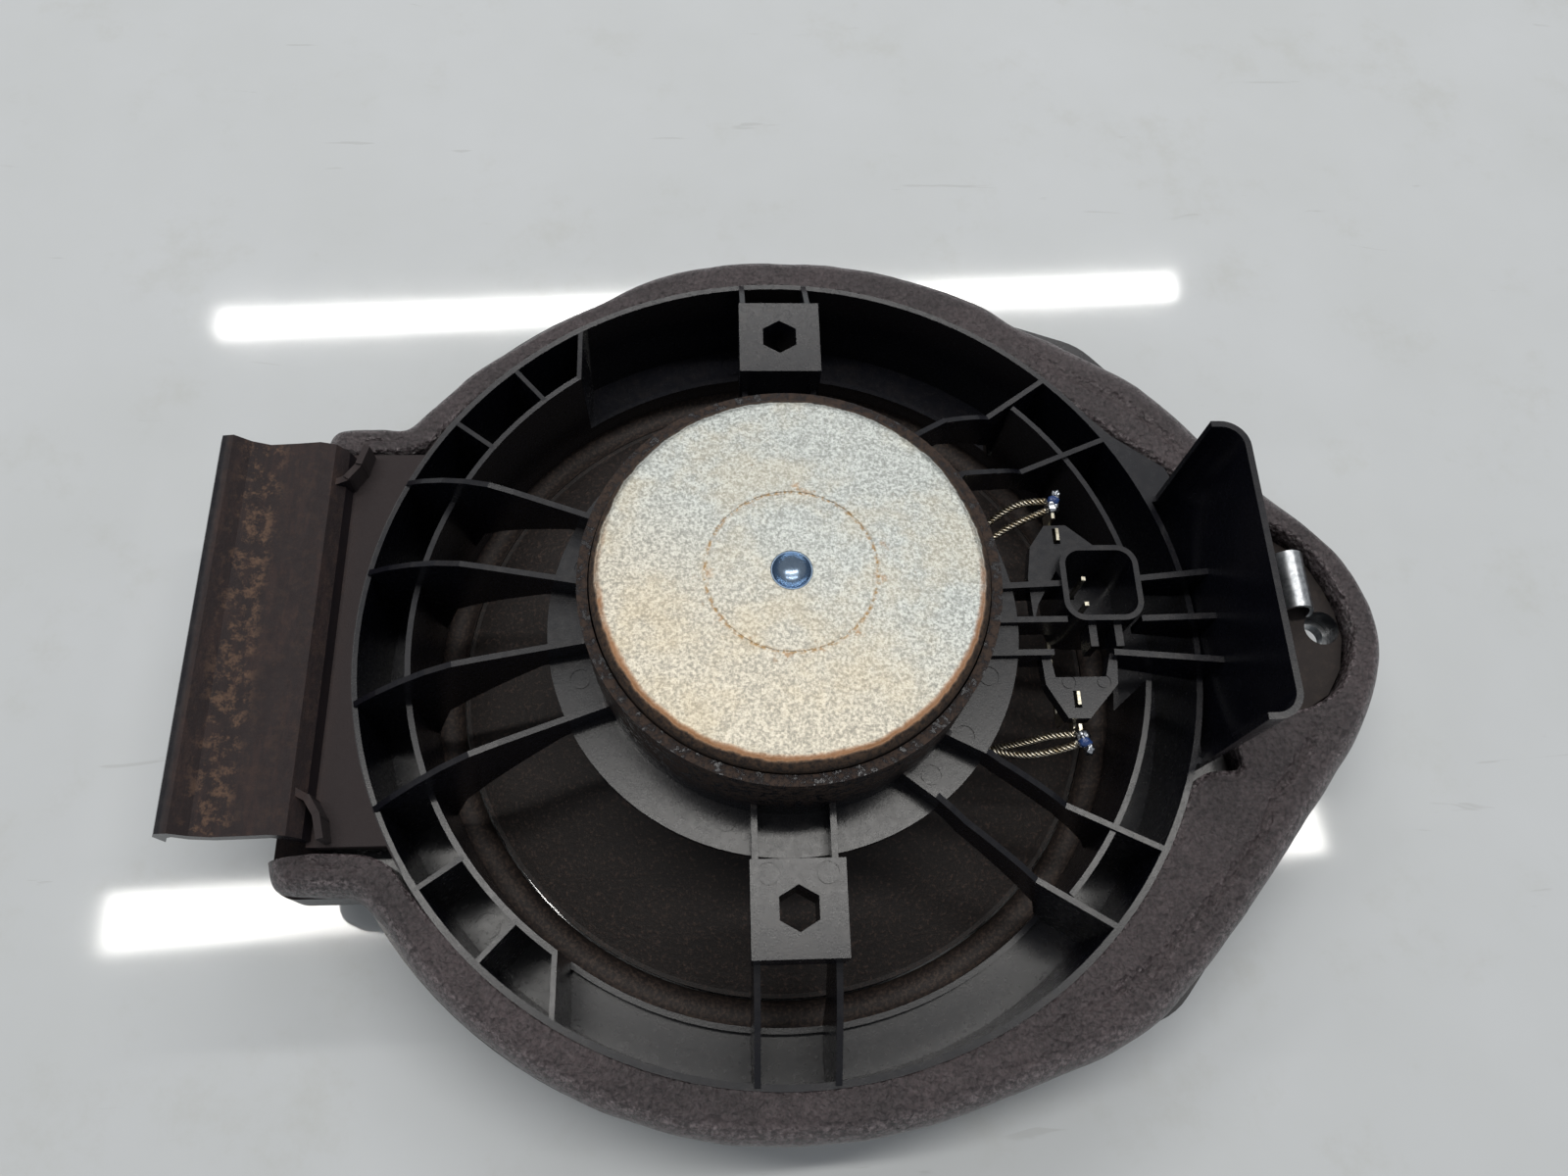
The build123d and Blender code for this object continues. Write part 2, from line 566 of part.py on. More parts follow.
def make_cone():
    steps = 10
    rear = [(NECK_R + (CONE_R - NECK_R) * i / steps) for i in range(steps + 1)]
    top = [(r, cone_height(r)) for r in rear]
    low = [(r, cone_height(r) - CONE_T) for r in reversed(rear)]
    shell = turned(top + low)
    edge = ring(CONE_R, CONE_R - 3.4, CONE_EDGE_Z - CONE_T, CONE_EDGE_Z + 0.3)
    neck = ring(NECK_R + 0.7, NECK_R - 0.02, NECK_Z - 1.4, NECK_Z + 2.2)
    shell = shell + edge + neck
    for side in (1, -1):
        shell -= disc(1.3, 5, 30, EYELET_X, side * EYELET_Y)
    return shell


def make_eyelets():
    """Two eyelets that take the tweeter's leads through the cone."""
    made = []
    z = cone_height(math.hypot(EYELET_X, EYELET_Y))
    for side in (1, -1):
        tube_part = ring(1.3, 0.9, z - 2.4, z + 1.4)
        heads = ring(2.2, 0.9, z + 0.6, z + 1.2) + ring(2.2, 0.9, z - 2.2, z - 1.6)
        made.append(Pos(EYELET_X, side * EYELET_Y, 0) * (tube_part + heads))
    return Compound(children=made)


def make_surround():
    """Half-roll edge, bulging to the front, with a flat lip bonded under the ledge."""
    z_bond, thick = LEDGE_TOP - LEDGE_T, 0.5
    mid_r, half, depth = 69.75, 3.0, 3.0
    steps = 10
    turns = [math.pi * i / steps for i in range(steps + 1)]
    roll = [(mid_r + half * math.cos(a), z_bond - thick - depth * math.sin(a)) for a in turns]
    outer = [(80.0, z_bond), (80.0, z_bond - thick)] + roll
    inner = [(r, z + thick) for r, z in reversed(roll)]
    return turned(outer + inner)


def make_spider():
    """Corrugated disc that centres the coil under the annular plate."""
    z_glue, thick, r_out, r_in = PLATE_TOP - PLATE_T, 0.45, 44.0, 13.6
    steps = 44
    line = []
    for i in range(steps + 1):
        r = 37.0 - (37.0 - r_in) * i / steps
        fade = min(1.0, i / 6.0, (steps - i) / 6.0)
        drop = 3.4 * min(1.0, i / 5.0)
        line.append((r, z_glue - thick - drop + 0.9 * fade * math.sin(math.pi * i / 4.4)))
    low = [(r_out, z_glue - thick)] + line
    top = [(r, z + thick) for r, z in reversed(low)]
    return turned(low + top)


def make_former():
    return ring(COIL_R + 0.2, COIL_R, NECK_Z - 2.0, 46.2)


def make_winding():
    return ring(13.3, COIL_R + 0.2, 36.4, 45.6)


# ---- tweeter ---------------------------------------------------------------------------------------
def make_tweeter_housing():
    shell = disc(TWEETER_R, TWEETER_FRONT, TWEETER_REAR) - disc(TWEETER_R - 1.5, 0, TWEETER_REAR - 1.5)
    shell = fillet(shell.edges().filter_by(GeomType.CIRCLE).group_by(Axis.Z)[-1].sort_by(SortBy.RADIUS)[-1], 1.2)
    shell += disc(6.0, TWEETER_REAR - 1.6, 23.0)
    for side in (1, -1):
        shell -= Pos(16.6, side * 7.9, 10.2) * Rot(0, 90, side * 25.4) * Cylinder(1.1, 5.0)
    return shell - disc(POST_R + 0.05, 0, 40)


def make_post_nut():
    nut = Pos(0, 0, 15.0) * extrude(RegularPolygon(4.6, 6), 3.4)
    return nut - disc(POST_R + 0.02, 10, 30)


def make_tweeter_frame():
    """Plastic ring that centres the tweeter's yoke in the housing."""
    return ring(15.9, 11.6, 6.0, 7.2) + ring(15.9, 14.9, 6.0, 11.0)


def make_tweeter_yoke():
    return disc(11.5, 6.9, 12.4) - disc(9.3, 6.0, 10.9)


def make_tweeter_magnet():
    return disc(7.4, 8.5, 10.9)


def make_tweeter_plate():
    return disc(7.8, 6.9, 8.5)


def make_tweeter_dome():
    rise, t = 2.5, 0.12
    big = (DOME_R ** 2 + rise ** 2) / (2 * rise)
    z_edge = 5.5
    outer = Pos(0, 0, z_edge - rise + big) * Sphere(big)
    inner = Pos(0, 0, z_edge - rise + big) * Sphere(big - t - 0.1)
    cap = (outer - inner) & disc(DOME_R, 0, z_edge)
    return cap + ring(DOME_R, DOME_R - 0.6, z_edge - 0.15, z_edge + 0.3)


def make_tweeter_coil():
    return ring(DOME_R, DOME_R - 0.4, 5.8, 8.9)


def make_tweeter_surround():
    return ring(12.8, 11.7, 5.55, 6.0) + ring(11.8, 8.9, 5.3, 5.65)


def make_tweeter_grille():
    """Protective cap over the dome, with a ring of slots around a small centre disc."""
    cap = disc(15.9, TWEETER_FRONT, TWEETER_FRONT + 0.9)
    cap += ring(15.9, 14.8, TWEETER_FRONT, 5.8)
    for r_in, r_out, count, gap in ((3.2, 5.6, 6, 16), (6.7, 9.4, 10, 10), (10.5, 13.4, 14, 7)):
        for i in range(count):
            az = 360 * i / count
            slot = ring(r_out, r_in, 0, 3) & sector(az, az + 360 / count - gap, 0, 3)
            cap -= slot
    return cap


def make_capacitor():
    body = Pos(0, -9.6, 15.6) * Rot(0, 90, 0) * Cylinder(2.5, 9.0)
    leads = Pos(0, -9.6, 15.6) * Rot(0, 90, 0) * Cylinder(0.35, 15.0)
    return body + leads


def make_front_gasket():
    return ring(80.6, 74.4, 1.4, LEDGE_TOP - LEDGE_T - 0.5)


PARTS = {
    "basket": make_basket,
    "foam_gasket": make_foam,
    "screw_clip": make_clip,
    "terminal_upper": lambda: make_terminal(1),
    "terminal_lower": lambda: make_terminal(-1),
    "solder_upper": lambda: make_solder(1),
    "solder_lower": lambda: make_solder(-1),
    "coil_lead_upper": lambda: tube(COIL_LEAD_UPPER, LEAD_R),
    "coil_lead_lower": lambda: tube(COIL_LEAD_LOWER, LEAD_R),
    "tweeter_lead_upper": lambda: tube(TWEETER_LEAD_UPPER, LEAD_R),
    "tweeter_lead_lower": lambda: tube(TWEETER_LEAD_LOWER, LEAD_R),
    "front_lead_upper": lambda: tube(FRONT_LEAD_UPPER, LEAD_R),
    "front_lead_lower": lambda: tube(FRONT_LEAD_LOWER, LEAD_R),
    "shield_can": make_can,
    "pole_yoke": make_yoke,
    "ferrite_magnet": make_magnet,
    "front_pole_plate": make_front_plate,
    "tweeter_post": make_post,
    "post_nut": make_post_nut,
    "front_gasket_ring": make_front_gasket,
    "surround": make_surround,
    "spider": make_spider,
    "cone": make_cone,
    "cone_eyelets": make_eyelets,
    "voice_coil_former": make_former,
    "voice_coil_winding": make_winding,
    "tweeter_housing": make_tweeter_housing,
    "tweeter_frame": make_tweeter_frame,
    "tweeter_yoke": make_tweeter_yoke,
    "tweeter_magnet": make_tweeter_magnet,
    "tweeter_pole_plate": make_tweeter_plate,
    "tweeter_dome": make_tweeter_dome,
    "tweeter_voice_coil": make_tweeter_coil,
    "tweeter_surround": make_tweeter_surround,
    "tweeter_grille": make_tweeter_grille,
    "tweeter_capacitor": make_capacitor,
}

os.makedirs(OUT, exist_ok=True)
for name, make in PARTS.items():
    export_step(make(), os.path.join(OUT, name + ".step"))
    print(name)
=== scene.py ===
import math

import bpy
from mathutils import Matrix, Vector, noise


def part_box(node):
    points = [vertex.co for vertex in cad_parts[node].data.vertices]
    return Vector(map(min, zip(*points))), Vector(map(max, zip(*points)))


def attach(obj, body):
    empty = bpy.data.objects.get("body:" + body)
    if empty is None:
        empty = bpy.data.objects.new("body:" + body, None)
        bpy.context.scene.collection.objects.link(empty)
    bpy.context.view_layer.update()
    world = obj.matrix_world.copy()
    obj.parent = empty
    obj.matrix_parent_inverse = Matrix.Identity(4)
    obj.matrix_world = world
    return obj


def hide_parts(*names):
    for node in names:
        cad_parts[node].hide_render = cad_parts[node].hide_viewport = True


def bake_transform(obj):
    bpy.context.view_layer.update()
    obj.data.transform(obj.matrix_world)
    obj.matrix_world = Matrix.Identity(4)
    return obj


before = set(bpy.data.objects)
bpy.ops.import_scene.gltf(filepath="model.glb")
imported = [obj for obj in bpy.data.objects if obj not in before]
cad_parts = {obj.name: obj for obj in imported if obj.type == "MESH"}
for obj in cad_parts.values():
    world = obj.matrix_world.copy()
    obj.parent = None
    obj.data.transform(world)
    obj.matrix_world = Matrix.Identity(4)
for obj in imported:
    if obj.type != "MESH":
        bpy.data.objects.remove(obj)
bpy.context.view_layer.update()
FRAME_BODY, CONE_BODY, DOME_BODY = "frame", "cone_assembly", "tweeter_dome_assembly"
MM = 0.001

# ---- sizes taken from the frame ---------------------------------------------------------------
FOAM_LOW, FOAM_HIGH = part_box("foam_gasket")
FOAM_Z0, FOAM_Z1 = FOAM_LOW.z / MM, FOAM_HIGH.z / MM


# ---- node materials -----------------------------------------------------------------------------
class Look:
    """Lays out one procedural material; every method returns a socket that the next one can use."""

    def __init__(self, name, rough=0.5, metal=0.0, specular=0.5):
        self.material = bpy.data.materials.new(name)
        self.material.use_nodes = True
        self.tree = self.material.node_tree
        self.shader = self.tree.nodes["Principled BSDF"]
        self.shader.inputs["Roughness"].default_value = rough
        self.shader.inputs["Metallic"].default_value = metal
        self.shader.inputs["Specular IOR Level"].default_value = specular
        self.place = self.add("ShaderNodeTexCoord").outputs["Object"]

    def add(self, kind, **settings):
        node = self.tree.nodes.new(kind)
        for key, value in settings.items():
            setattr(node, key, value)
        return node

    def feed(self, socket, value):
        if isinstance(value, bpy.types.NodeSocket):
            self.tree.links.new(value, socket)
        else:
            socket.default_value = value

    def math(self, operation, a, b=0.0, clamp=False):
        node = self.add("ShaderNodeMath", operation=operation, use_clamp=clamp)
        self.feed(node.inputs[0], a)
        self.feed(node.inputs[1], b)
        return node.outputs[0]

    def split(self):
        return self.add_linked("ShaderNodeSeparateXYZ", self.place).outputs

    def add_linked(self, kind, source):
        node = self.add(kind)
        self.tree.links.new(source, node.inputs[0])
        return node

    def stretch(self, scale):
        node = self.add("ShaderNodeMapping")
        self.tree.links.new(self.place, node.inputs["Vector"])
        node.inputs["Scale"].default_value = scale
        return node.outputs[0]

    def noise(self, size_mm, detail=3.0, rough=0.6, vector=None, distort=0.0):
        node = self.add("ShaderNodeTexNoise")
        self.feed(node.inputs["Vector"], vector or self.place)
        node.inputs["Scale"].default_value = 1.0 / (size_mm * MM)
        node.inputs["Detail"].default_value = detail
        node.inputs["Roughness"].default_value = rough
        node.inputs["Distortion"].default_value = distort
        return node.outputs["Fac"]

    def cells(self, size_mm, feature="F1", vector=None):
        node = self.add("ShaderNodeTexVoronoi", feature=feature)
        self.feed(node.inputs["Vector"], vector or self.place)
        node.inputs["Scale"].default_value = 1.0 / (size_mm * MM)
        return node.outputs["Distance"]

    def ramp(self, value, low, high):
        """0 below low, 1 above high, and even between them."""
        node = self.add("ShaderNodeMapRange", interpolation_type="SMOOTHSTEP")
        self.feed(node.inputs["Value"], value)
        node.inputs["From Min"].default_value = low
        node.inputs["From Max"].default_value = high
        return node.outputs[0]

    def band(self, value, low, high, soft):
        rise = self.ramp(value, low - soft, low + soft)
        fall = self.ramp(value, high + soft, high - soft)
        return self.math("MULTIPLY", rise, fall)

    def mix(self, share, a, b):
        node = self.add("ShaderNodeMix", data_type="RGBA")
        self.feed(node.inputs["Factor"], share)
        self.feed(node.inputs["A"], a)
        self.feed(node.inputs["B"], b)
        return node.outputs["Result"]

    def radius(self):
        x, y, _ = self.split()
        return self.math("SQRT", self.math("ADD", self.math("MULTIPLY", x, x), self.math("MULTIPLY", y, y)))

    def facing_rear(self):
        """1 on faces that look to the rear (+Z), 0 on upright ones."""
        normal = self.add("ShaderNodeNewGeometry").outputs["Normal"]
        return self.add_linked("ShaderNodeSeparateXYZ", normal).outputs[2]

    def relief(self, height, depth_mm, strength=1.0, under=None):
        node = self.add("ShaderNodeBump")
        node.inputs["Strength"].default_value = strength
        node.inputs["Distance"].default_value = depth_mm * MM
        self.tree.links.new(height, node.inputs["Height"])
        if under:
            self.tree.links.new(under, node.inputs["Normal"])
        return node.outputs[0]

    def finish(self, colour, rough=None, metal=None, normal=None):
        self.feed(self.shader.inputs["Base Color"], colour)
        if rough is not None:
            self.feed(self.shader.inputs["Roughness"], rough)
        if metal is not None:
            self.feed(self.shader.inputs["Metallic"], metal)
        if normal is not None:
            self.tree.links.new(normal, self.shader.inputs["Normal"])
        return self.material


def srgb(red, green, blue):
    """Linear colour with alpha from 0-255 display values."""
    def linear(v):
        v /= 255.0
        return v / 12.92 if v <= 0.04045 else ((v + 0.055) / 1.055) ** 2.4
    return (linear(red), linear(green), linear(blue), 1.0)


def basket_look():
    """Black moulded plastic: satin grain, a painted highlight lightening the high rear-facing tops, brown
    dust on the hook and the lug.
    """
    look = Look("basket_plastic", rough=0.34, specular=0.4)
    x, y, z = look.split()
    rear = look.facing_rear()
    flat = look.ramp(rear, 0.55, 0.98)
    mottled = look.noise(9.0, 4.0)
    base = look.mix(mottled, srgb(11, 12, 18), srgb(18, 19, 27))
    # painted highlight: high rear-facing tops are lightened to grey in patches, standing in for overhead
    # light on them
    painted_top_highlight = look.math("MULTIPLY", flat, look.ramp(look.noise(2.2, 5.0, 0.7), 0.30, 0.75))
    high = look.ramp(z, 0.0300, 0.0400)
    base = look.mix(look.math("MULTIPLY", look.math("MULTIPLY", painted_top_highlight, high), 0.4), base, srgb(52, 50, 50))
    film = look.math("MULTIPLY", flat, look.ramp(look.noise(3.0, 6.0, 0.75), 0.42, 0.80))
    base = look.mix(look.math("MULTIPLY", film, 0.2), base, srgb(66, 58, 54))

    hook = look.ramp(x, -0.0835, -0.0860)
    tip = look.ramp(x, -0.1075, -0.1090)
    clean_tip = look.math("SUBTRACT", 1.0, tip)
    clumps = look.ramp(look.noise(2.6, 8.0, 0.78), 0.48, 0.62)
    streak = look.stretch((1.0, 0.22, 1.0))
    lines = look.ramp(look.noise(2.0, 5.0, 0.7, streak), 0.46, 0.62)
    crease = look.band(x, -0.1050, -0.0985, 0.0016)
    hook_dust = look.math("MULTIPLY", look.math("MULTIPLY", hook, clean_tip), look.ramp(rear, 0.05, 0.5))
    stain = look.math("MULTIPLY", hook_dust, look.math("ADD", 0.45, look.math("MULTIPLY", lines, 0.35)))
    base = look.mix(stain, base, srgb(56, 42, 40))
    tan = look.math("MULTIPLY", clumps, look.math("ADD", 0.15, look.math("MULTIPLY", crease, 0.85)))
    base = look.mix(look.math("MULTIPLY", hook_dust, tan, True), base, srgb(98, 76, 62))

    lug = look.math("MULTIPLY", look.ramp(x, 0.0850, 0.0890), look.ramp(z, 0.0300, 0.0275))
    lug = look.math("MULTIPLY", lug, flat)
    lug_tone = look.math("MULTIPLY", lug, look.math("ADD", 0.55, look.math("MULTIPLY", clumps, 0.3)))
    base = look.mix(lug_tone, base, srgb(62, 54, 50))

    step = look.math("MULTIPLY", look.ramp(x, -0.0690, -0.0715), look.ramp(look.radius(), 0.0826, 0.0830))
    step = look.math("MULTIPLY", step, look.ramp(x, -0.0868, -0.0850))
    step = look.math("MULTIPLY", step, look.ramp(z, 0.028, 0.030))
    base = look.mix(look.math("MULTIPLY", step, 0.8), base, srgb(54, 46, 46))
    dusty = look.math("MAXIMUM", look.math("MULTIPLY", hook_dust, 0.9), look.math("MAXIMUM", lug, step))
    near_can = look.band(look.radius(), 0.0345, 0.0378, 0.0006)
    near_can = look.math("MULTIPLY", near_can, look.ramp(z, 0.040, 0.052))
    crust = look.math("MULTIPLY", near_can, look.ramp(look.noise(1.6, 6.0, 0.75), 0.40, 0.58))
    base = look.mix(look.math("MULTIPLY", crust, 0.75), base, srgb(70, 54, 44))
    dusty = look.math("MAXIMUM", dusty, crust)
    rough = look.math("ADD", 0.19, look.math("MULTIPLY", dusty, 0.55))
    rough = look.math("ADD", rough, look.math("MULTIPLY", look.noise(1.3, 4.0), 0.14))
    fine = look.relief(look.noise(0.34, 2.0), 0.022, 0.5)
    grit = look.math("MULTIPLY", look.noise(0.9, 6.0, 0.8), dusty)
    normal = look.relief(grit, 0.30, 0.8, fine)
    return look.finish(base, rough, normal=normal)


def can_look():
    """Galvanised sheet: pale stippled top with brown specks, a rusty ring and a rusty, crusted shoulder."""
    look = Look("galvanised_steel", rough=0.42, metal=1.0)
    x, y, z = look.split()
    r = look.radius()
    stipple = look.noise(0.5, 3.0, 0.62)
    warm_side = look.ramp(look.math("SUBTRACT", y, look.math("MULTIPLY", x, -0.55)), 0.012, -0.026)
    cool, warm = srgb(180, 184, 181), srgb(190, 184, 170)
    base = look.mix(warm_side, cool, warm)
    grain = look.ramp(stipple, 0.30, 0.70)
    base = look.mix(look.math("MULTIPLY", grain, 0.62), base, srgb(84, 86, 82))
    blotch = look.ramp(look.noise(12.0, 4.0, 0.6), 0.42, 0.66)
    base = look.mix(look.math("MULTIPLY", blotch, 0.22), base, srgb(178, 160, 124))
    spread = look.ramp(look.noise(9.0, 3.0), 0.40, 0.62)
    specks = look.ramp(look.noise(1.25, 5.0, 0.72), 0.66, 0.74)
    specks = look.math("MULTIPLY", specks, look.math("ADD", 0.20, look.math("MULTIPLY", spread, 0.9)))
    rust = srgb(132, 92, 52)
    base = look.mix(look.math("MULTIPLY", specks, 0.75, True), base, rust)
    ring = look.band(r, 0.01470, 0.01530, 0.00035)
    dots = look.math("MULTIPLY", ring, look.ramp(look.noise(0.95, 3.0, 0.7), 0.42, 0.60))
    base = look.mix(dots, base, srgb(140, 112, 74))
    patch = look.band(r, 0.0140, 0.0172, 0.0013)
    patch = look.math("MULTIPLY", patch, look.ramp(look.noise(4.0, 3.0), 0.56, 0.66))
    patch = look.math("MULTIPLY", patch, look.ramp(look.noise(0.8, 4.0, 0.7), 0.44, 0.56))
    base = look.mix(look.math("MULTIPLY", patch, 0.7), base, srgb(150, 118, 84))

    wander = look.math("MULTIPLY", look.math("SUBTRACT", look.noise(5.0, 4.0, 0.6), 0.5), 0.0016)
    rim_r = look.math("ADD", r, wander)
    orange = look.band(rim_r, 0.03285, 0.03395, 0.00045)
    patchy = look.ramp(look.math("ADD", look.math("MULTIPLY", y, -22.0), look.noise(7.0, 3.0)), 0.30, 0.75)
    orange = look.math("MULTIPLY", orange, patchy)
    base = look.mix(look.math("MULTIPLY", orange, 0.85), base, srgb(150, 98, 48))
    dark = look.ramp(rim_r, 0.03345, 0.03400)
    crumbs = look.noise(1.1, 6.0, 0.78)
    crust = look.mix(look.ramp(crumbs, 0.38, 0.62), srgb(34, 27, 25), srgb(78, 60, 46))
    base = look.mix(dark, base, crust)
    metal = look.math("SUBTRACT", 1.0, look.math("MAXIMUM", dark, look.math("MULTIPLY", orange, 0.8)))
    metal = look.math("SUBTRACT", metal, look.math("MULTIPLY", specks, 0.6), True)
    rough = look.math("ADD", 0.40, look.math("MULTIPLY", dark, 0.48))
    rough = look.math("ADD", rough, look.math("MULTIPLY", stipple, 0.12))
    low = look.relief(stipple, 0.10, 1.0)
    normal = look.relief(look.math("MULTIPLY", crumbs, dark), 0.55, 0.9, low)
    return look.finish(base, rough, metal, normal)


def rivet_look():
    look = Look("rivet_steel", rough=0.22, metal=1.0)
    tone = look.mix(look.noise(1.1, 4.0), srgb(120, 142, 168), srgb(164, 182, 200))
    return look.finish(tone, look.math("ADD", 0.16, look.math("MULTIPLY", look.noise(0.5), 0.18)),
                       normal=look.relief(look.noise(0.5), 0.02, 0.5))


def foam_look():
    """Skinned closed-cell foam: warm dark brown, leathery, a little shiny where it is rounded over, with a
    painted sheen of pale flecks that is strongest there.
    """
    look = Look("gasket_foam", rough=0.4, specular=0.85)
    tone = look.mix(look.ramp(look.noise(14.0, 5.0, 0.6), 0.35, 0.65), srgb(56, 46, 48), srgb(78, 66, 68))
    tone = look.mix(look.math("MULTIPLY", look.ramp(look.noise(1.2, 6.0, 0.75), 0.5, 0.75), 0.35), tone,
                    srgb(104, 94, 92))
    grain = look.cells(1.25)
    fine = look.noise(0.5, 4.0, 0.7)
    wrinkle = look.noise(3.2, 5.0, 0.65, distort=0.6)
    tone = look.mix(look.math("MULTIPLY", look.ramp(look.noise(0.8, 5.0, 0.8), 0.56, 0.40), 0.6), tone,
                    srgb(26, 21, 23))
    rounded_zone = look.ramp(look.facing_rear(), 0.985, 0.80)
    # painted sheen: pale flecks in the colour stand in for reflected light, faint on the flat face and
    # strong on the rounded-over zone
    painted_sheen_strength = look.math("ADD", 0.12, look.math("MULTIPLY", rounded_zone, 0.48))
    painted_sheen_flecks = look.math("MULTIPLY", look.ramp(look.noise(0.9, 5.0, 0.8), 0.44, 0.60), painted_sheen_strength)
    tone = look.mix(painted_sheen_flecks, tone, srgb(148, 136, 139))
    low = look.relief(wrinkle, 1.3, 1.0)
    mid = look.relief(grain, 0.9, 1.0, low)
    normal = look.relief(fine, 0.45, 1.0, mid)
    rough = look.math("SUBTRACT", 0.50, look.math("MULTIPLY", rounded_zone, 0.26))
    glint = look.ramp(look.noise(0.7, 3.0), 0.5, 0.7)
    rough = look.math("SUBTRACT", rough, look.math("MULTIPLY", glint, 0.12))
    return look.finish(tone, rough, normal=normal)


def cone_look():
    """Dark felted pulp with fine concentric ridges and a film of dust."""
    look = Look("cone_pulp", rough=0.72, specular=0.35)
    r = look.radius()
    ridges = look.math("SINE", look.math("MULTIPLY", r, 2 * math.pi / 0.0021))
    fibre = look.noise(0.8, 6.0, 0.75)
    tone = look.mix(look.noise(7.0, 5.0, 0.65), srgb(24, 21, 21), srgb(42, 36, 34))
    tone = look.mix(look.math("MULTIPLY", look.ramp(fibre, 0.5, 0.70), 0.65), tone, srgb(92, 74, 66))
    low = look.relief(ridges, 0.012, 0.2)
    normal = look.relief(fibre, 0.22, 0.9, low)
    return look.finish(tone, look.math("ADD", 0.38, look.math("MULTIPLY", fibre, 0.3)), normal=normal)


def rubber_look():
    look = Look("surround_rubber", rough=0.5, specular=0.45)
    grit = look.noise(0.75, 5.0, 0.75)
    tone = look.mix(look.ramp(grit, 0.42, 0.70), srgb(40, 34, 33), srgb(86, 72, 64))
    return look.finish(tone, look.math("ADD", 0.52, look.math("MULTIPLY", grit, 0.3)),
                       normal=look.relief(grit, 0.12, 0.8))


def metal_look(name, dark, light, rough, grain_mm, relief_mm, metal=1.0):
    look = Look(name, rough=rough, metal=metal)
    grain = look.noise(grain_mm, 4.0, 0.65)
    tone = look.mix(look.ramp(grain, 0.3, 0.7), dark, light)
    spread = look.math("ADD", rough - 0.06, look.math("MULTIPLY", look.noise(grain_mm * 6, 3.0), 0.16))
    return look.finish(tone, spread, normal=look.relief(grain, relief_mm, 0.6))


def ferrite_look():
    look = Look("ferrite", rough=0.6, specular=0.5)
    streak = look.stretch((1.0, 1.0, 0.18))
    tone = look.mix(look.noise(1.6, 5.0, 0.7, streak), srgb(38, 38, 41), srgb(62, 61, 63))
    return look.finish(tone, normal=look.relief(look.noise(0.6, 4.0), 0.05, 0.6))


def cloth_look(name, dark, light, pitch_mm):
    """Plain weave: two crossed sets of threads."""
    look = Look(name, rough=0.85, specular=0.2)
    look.shader.inputs["Sheen Weight"].default_value = 0.3
    x, y, _ = look.split()
    step = 2 * math.pi / (pitch_mm * MM)
    warp = look.math("SINE", look.math("MULTIPLY", x, step))
    weft = look.math("SINE", look.math("MULTIPLY", y, step))
    weave = look.math("MULTIPLY", look.math("ADD", warp, weft), 0.5)
    tone = look.mix(look.ramp(look.math("ADD", weave, look.noise(4.0)), -0.6, 1.4), dark, light)
    return look.finish(tone, normal=look.relief(weave, 0.08, 0.7))


def winding_look():
    look = Look("copper_wire", rough=0.28, metal=1.0)
    turns = look.math("SINE", look.math("MULTIPLY", look.split()[2], 2 * math.pi / 0.00032))
    tone = look.mix(look.ramp(turns, -1.0, 1.0), srgb(120, 60, 30), srgb(214, 128, 72))
    return look.finish(tone, normal=look.relief(turns, 0.05, 0.8))


def braid_look():
    """Tarnished silver and gold strands."""
    look = Look("tinsel_braid", rough=0.34, metal=1.0)
    strands = look.noise(0.9, 4.0, 0.7)
    tone = look.mix(look.ramp(strands, 0.35, 0.65), srgb(150, 136, 108), srgb(220, 214, 200))
    return look.finish(tone, normal=look.relief(look.noise(0.25, 3.0), 0.04, 0.7))


def plastic_look(name, dark, light, rough):
    look = Look(name, rough=rough, specular=0.5)
    tone = look.mix(look.noise(6.0, 4.0), dark, light)
    spread = look.math("ADD", rough - 0.05, look.math("MULTIPLY", look.noise(1.4, 3.0), 0.14))
    return look.finish(tone, spread, normal=look.relief(look.noise(0.35, 2.0), 0.025, 0.5))


LOOKS = {
    "basket": basket_look(),
    "foam": foam_look(),
    "can": can_look(),
    "rivet": rivet_look(),
    "clip": metal_look("zinc_clip", srgb(168, 172, 176), srgb(222, 224, 226), 0.30, 1.1, 0.02),
    "brass": metal_look("tinned_brass", srgb(150, 144, 128), srgb(214, 208, 190), 0.30, 0.7, 0.02),
    "solder": metal_look("solder", srgb(160, 164, 170), srgb(226, 230, 236), 0.24, 0.8, 0.03),
    "steel": metal_look("plated_steel", srgb(140, 143, 148), srgb(186, 188, 192), 0.36, 0.9, 0.02),
    "former": metal_look("coil_former", srgb(170, 170, 172), srgb(210, 210, 212), 0.32, 0.9, 0.01),
    "ferrite": ferrite_look(),
    "copper": winding_look(),
    "cone": cone_look(),
    "rubber": rubber_look(),
    "spider": cloth_look("spider_cloth", srgb(112, 82, 42), srgb(176, 138, 84), 0.55),
    "dome": cloth_look("dome_fabric", srgb(34, 34, 38), srgb(62, 62, 68), 0.30),
    "braid": braid_look(),
    "varnish": plastic_look("blue_varnish", srgb(30, 48, 92), srgb(52, 78, 132), 0.18),
    "ring": plastic_look("front_ring_card", srgb(30, 30, 32), srgb(48, 47, 48), 0.62),
    "tweeter": plastic_look("tweeter_plastic", srgb(28, 28, 31), srgb(42, 42, 46), 0.40),
    "capacitor": plastic_look("capacitor_sleeve", srgb(34, 62, 118), srgb(52, 84, 146), 0.25),
    "glue": plastic_look("cone_glue", srgb(30, 24, 20), srgb(58, 46, 36), 0.22),
}

